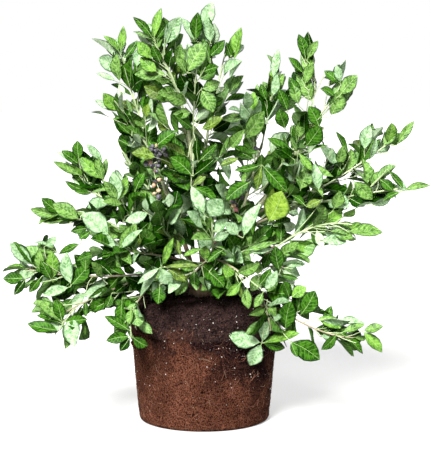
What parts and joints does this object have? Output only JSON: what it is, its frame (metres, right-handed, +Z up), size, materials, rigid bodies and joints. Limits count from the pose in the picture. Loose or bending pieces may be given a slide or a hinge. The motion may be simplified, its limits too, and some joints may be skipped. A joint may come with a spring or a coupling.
{
  "type": "blueberry bush on its root ball",
  "caption": "Leafy highbush blueberry standing on its bare, tapered root ball: canes from one woody crown, forked boughs and open foliage masses with berries.",
  "frame": {"origin": "middle of the flat underside of the root ball", "axes": "+Z up along the root ball's axis, -Y towards the front of the bush, +X to the right seen from the front"},
  "size_m": [0.7711, 0.5739, 0.7619],
  "materials": {
    "root_mat": "matted fine roots and peat, dull and fibrous",
    "soil": "dark crumbly bark soil, dull",
    "bark": "thin brown bark, slightly rough",
    "green_bark": "smooth green-brown young bark",
    "foliage": "satin green leaves, paler underneath"
  },
  "bodies": {
    "root": {"root_ball": "root_mat", "soil_top": "soil", "root_crown": "bark", "cane_centre": "bark", "cane_left": "bark", "cane_low_left": "bark", "cane_right": "bark", "cane_low_right": "bark", "cane_front": "bark", "cane_back": "bark", "bough_top": "green_bark", "bough_left": "green_bark", "bough_left_mid": "green_bark", "bough_upper_right": "green_bark", "bough_right": "green_bark", "bough_right_low": "green_bark", "bough_front_left": "green_bark", "bough_back_left": "green_bark", "bough_back_right": "green_bark", "bough_back_top": "green_bark", "mass_top_left": "foliage", "mass_top_front": "foliage", "mass_top_centre": "foliage", "mass_top_right": "foliage", "mass_upper_left": "foliage", "mass_outer_left": "foliage", "mass_right_inner": "foliage", "mass_centre_right": "foliage", "mass_right_high": "foliage", "mass_right_outer": "foliage", "mass_far_right_high": "foliage", "mass_far_right": "foliage", "mass_inner_right": "foliage", "mass_right_mid": "foliage", "mass_low_right": "foliage", "mass_hanging_right": "foliage", "mass_left_high": "foliage", "mass_left_mid": "foliage", "mass_left_upright": "foliage", "mass_low_left": "foliage", "mass_low_left_droop": "foliage", "mass_under_left": "foliage", "mass_front_left": "foliage", "mass_front_left_high": "foliage", "mass_front_centre": "foliage", "mass_front_right": "foliage", "mass_front_low": "foliage", "mass_right_low_inner": "foliage", "mass_left_low_inner": "foliage", "mass_fruit_left": "foliage", "mass_fruit_right": "foliage", "mass_back_left_low": "foliage", "mass_back_left_high": "foliage", "mass_back_low": "foliage", "mass_back_high": "foliage", "mass_back_mid": "foliage", "mass_back_right_low": "foliage", "mass_back_right_high": "foliage", "mass_back_left_mid": "foliage", "mass_back_right_mid": "foliage"}
  },
  "joints": []
}
